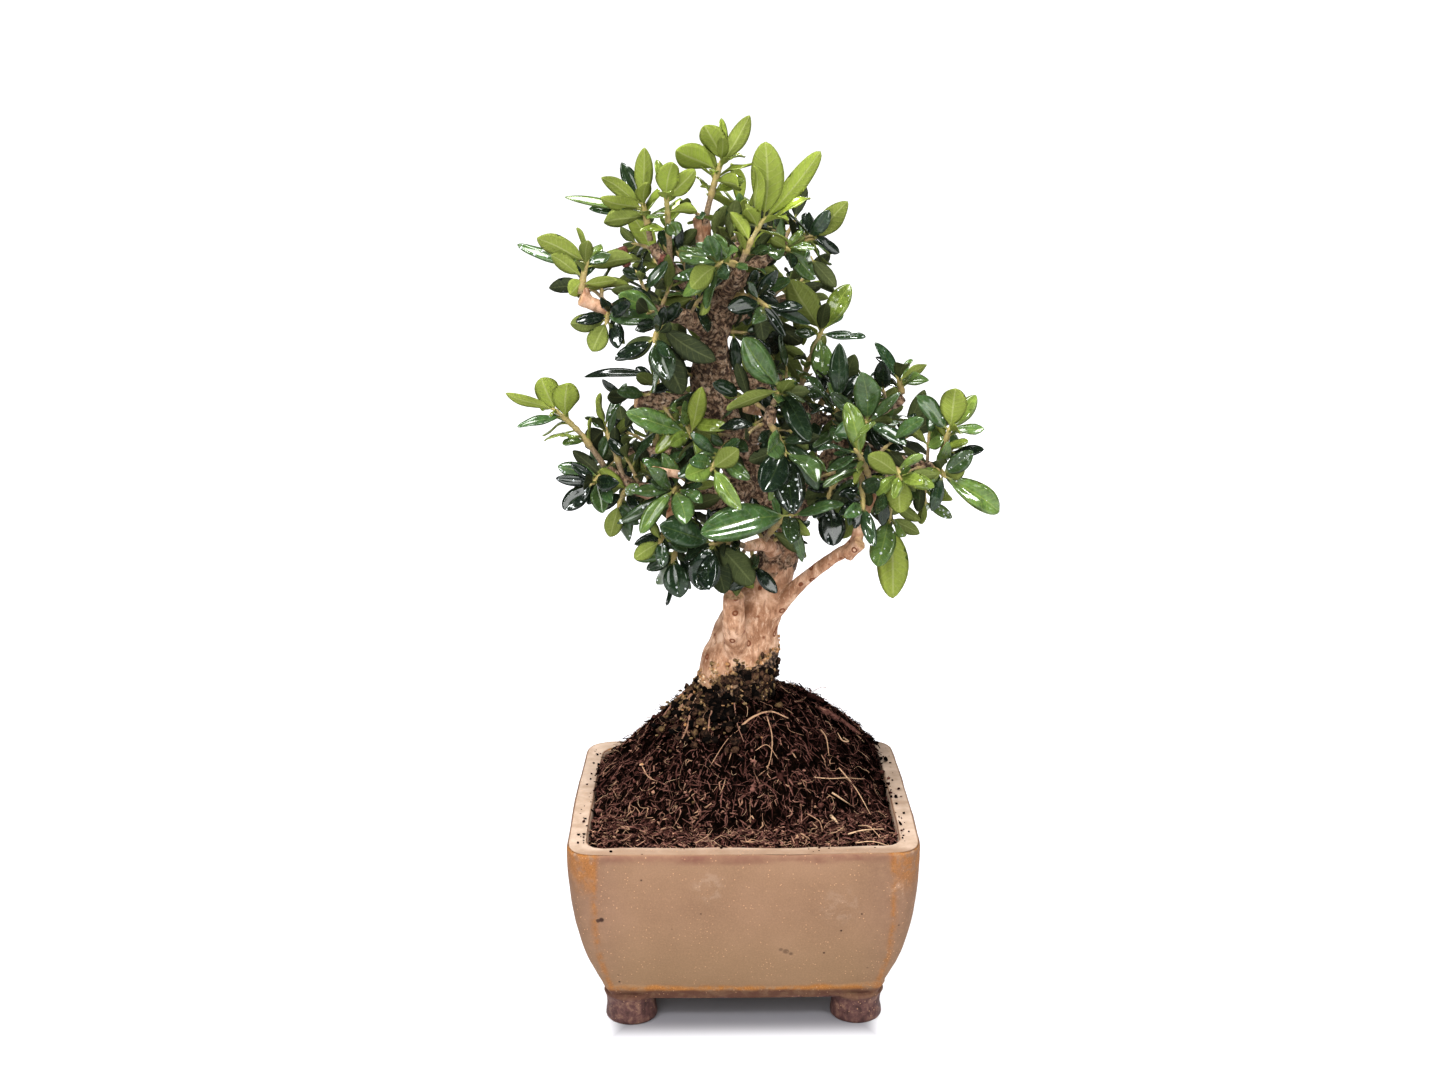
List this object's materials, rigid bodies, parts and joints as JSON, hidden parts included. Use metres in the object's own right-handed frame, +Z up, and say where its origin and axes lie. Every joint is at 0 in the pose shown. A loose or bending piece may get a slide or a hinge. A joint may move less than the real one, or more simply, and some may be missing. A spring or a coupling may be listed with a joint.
{
  "type": "olive bonsai",
  "caption": "Small olive tree trained as a bonsai: a leaning, curving trunk with leafy shoots in a heaped soil ball, in a square bowl-sided stoneware pot on four feet.",
  "frame": {"origin": "on the surface the pot stands on, under the middle of the whole plant and pot", "axes": "+Z up along the trunk; the pot's sides are parallel to X and Y; -Y is the front face seen in the picture"},
  "size_m": [0.213, 0.1842, 0.38],
  "materials": {
    "stoneware": "matte",
    "screen": "matte",
    "soil": "matte",
    "bark": "matte",
    "leaf_young": "satin",
    "leaf_mid": "gloss",
    "leaf_old": "gloss"
  },
  "bodies": {
    "root": {"pot": "stoneware", "drain_screen": "screen", "soil": "soil", "trunk": "bark", "spray_01": "leaf_young", "spray_02": "leaf_young", "spray_03": "leaf_mid", "spray_04": "leaf_young", "spray_05": "leaf_young", "spray_06": "leaf_mid", "spray_07": "leaf_mid", "spray_08": "leaf_old", "spray_09": "leaf_old", "spray_10": "leaf_mid", "spray_11": "leaf_old", "spray_12": "leaf_old", "spray_13": "leaf_old", "spray_14": "leaf_old", "spray_15": "leaf_young", "spray_16": "leaf_mid", "spray_17": "leaf_mid", "spray_18": "leaf_mid", "spray_19": "leaf_young", "spray_20": "leaf_old", "spray_21": "leaf_old", "spray_22": "leaf_mid", "spray_23": "leaf_mid", "spray_24": "leaf_mid", "spray_25": "leaf_old", "spray_26": "leaf_mid", "spray_27": "leaf_old", "spray_28": "leaf_old", "spray_29": "leaf_mid", "spray_30": "leaf_old", "spray_31": "leaf_old", "spray_32": "leaf_old", "spray_33": "leaf_old", "spray_34": "leaf_mid", "spray_35": "leaf_old", "spray_36": "leaf_old", "spray_37": "leaf_mid", "spray_38": "leaf_old", "spray_39": "leaf_mid", "spray_40": "leaf_old", "spray_41": "leaf_mid", "spray_42": "leaf_old", "spray_43": "leaf_old", "spray_44": "leaf_young", "spray_45": "leaf_mid", "spray_46": "leaf_mid", "spray_47": "leaf_old", "spray_48": "leaf_mid", "spray_49": "leaf_old", "spray_50": "leaf_old", "spray_51": "leaf_mid", "spray_52": "leaf_old", "spray_53": "leaf_old", "spray_54": "leaf_old", "spray_55": "leaf_old", "spray_56": "leaf_old"}
  },
  "joints": []
}
